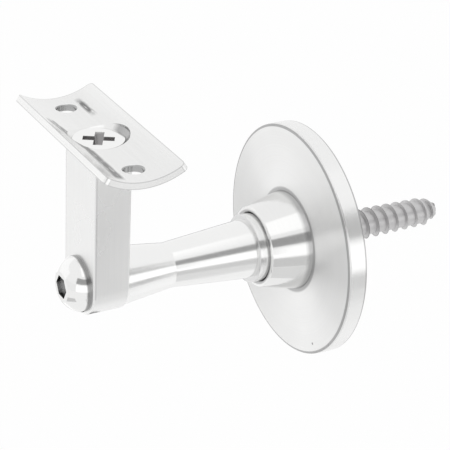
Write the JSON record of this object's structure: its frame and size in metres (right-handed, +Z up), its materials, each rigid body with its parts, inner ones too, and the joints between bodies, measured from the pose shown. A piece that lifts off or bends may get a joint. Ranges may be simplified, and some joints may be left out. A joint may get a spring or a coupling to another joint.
{
  "type": "handrail bracket",
  "caption": "Wall-mounted handrail bracket: round wall plate with a hanger bolt, waisted arm, upright post and a curved saddle that carries a round rail.",
  "frame": {"origin": "centre of the wall plate's back face, on the arm's axis", "axes": "+X along the rail, -Y out from the wall into the room, +Y into the wall, +Z up towards the rail"},
  "size_m": [0.07, 0.1269, 0.0823],
  "materials": {
    "turned_steel": "face-turned satin stainless steel, fine concentric lines",
    "collar_steel": "turned stainless steel, finely polished",
    "arm_steel": "turned stainless steel, finely polished",
    "post_steel": "satin stainless steel, ground along its length",
    "saddle_steel": "satin stainless steel, ground along its length",
    "screw_steel": "bright stainless steel fastener",
    "bolt_steel": "plain grey stainless steel, rolled wood thread"
  },
  "bodies": {
    "root": {"wall_plate": "turned_steel", "collar": "collar_steel", "arm": "arm_steel", "post": "post_steel", "rail_saddle": "saddle_steel", "post_screw": "screw_steel", "saddle_screw": "screw_steel", "hanger_bolt": "bolt_steel"}
  },
  "joints": []
}
